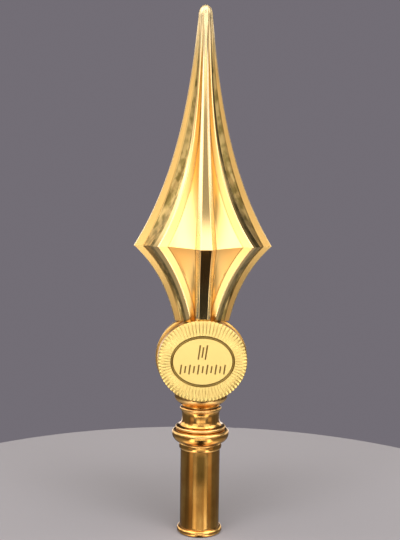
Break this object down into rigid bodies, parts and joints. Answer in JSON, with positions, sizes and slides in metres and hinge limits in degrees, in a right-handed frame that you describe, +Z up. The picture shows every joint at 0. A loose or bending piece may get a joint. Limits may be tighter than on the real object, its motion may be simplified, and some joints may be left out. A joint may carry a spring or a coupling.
{
  "type": "flagpole finial",
  "caption": "Gilt-brass flagpole finial: a ribbed spearhead over a fluted oval cartouche, on a turned collar and a socket that slips over the pole's end.",
  "frame": {"origin": "centre of the socket's mouth, in the plane of its underside", "axes": "+Z up along the pole's axis towards the tip; the front face plate looks along -Y"},
  "size_m": [0.0986, 0.0986, 0.38],
  "materials": {
    "spear_gilding": "matted gilding with burnished rib flats",
    "drum_gilding": "satin gilding, worn at the raised rim",
    "plate_gilding": "satin gilding, burnished darker in the sunk channel",
    "turned_gilding": "turned and polished gilding, rubbed and browner than the spearhead"
  },
  "bodies": {
    "root": {"spearhead": "spear_gilding", "cartouche_drum": "drum_gilding", "front_face_plate": "plate_gilding", "back_face_plate": "plate_gilding", "collar": "turned_gilding", "socket_tube": "turned_gilding"}
  },
  "joints": []
}
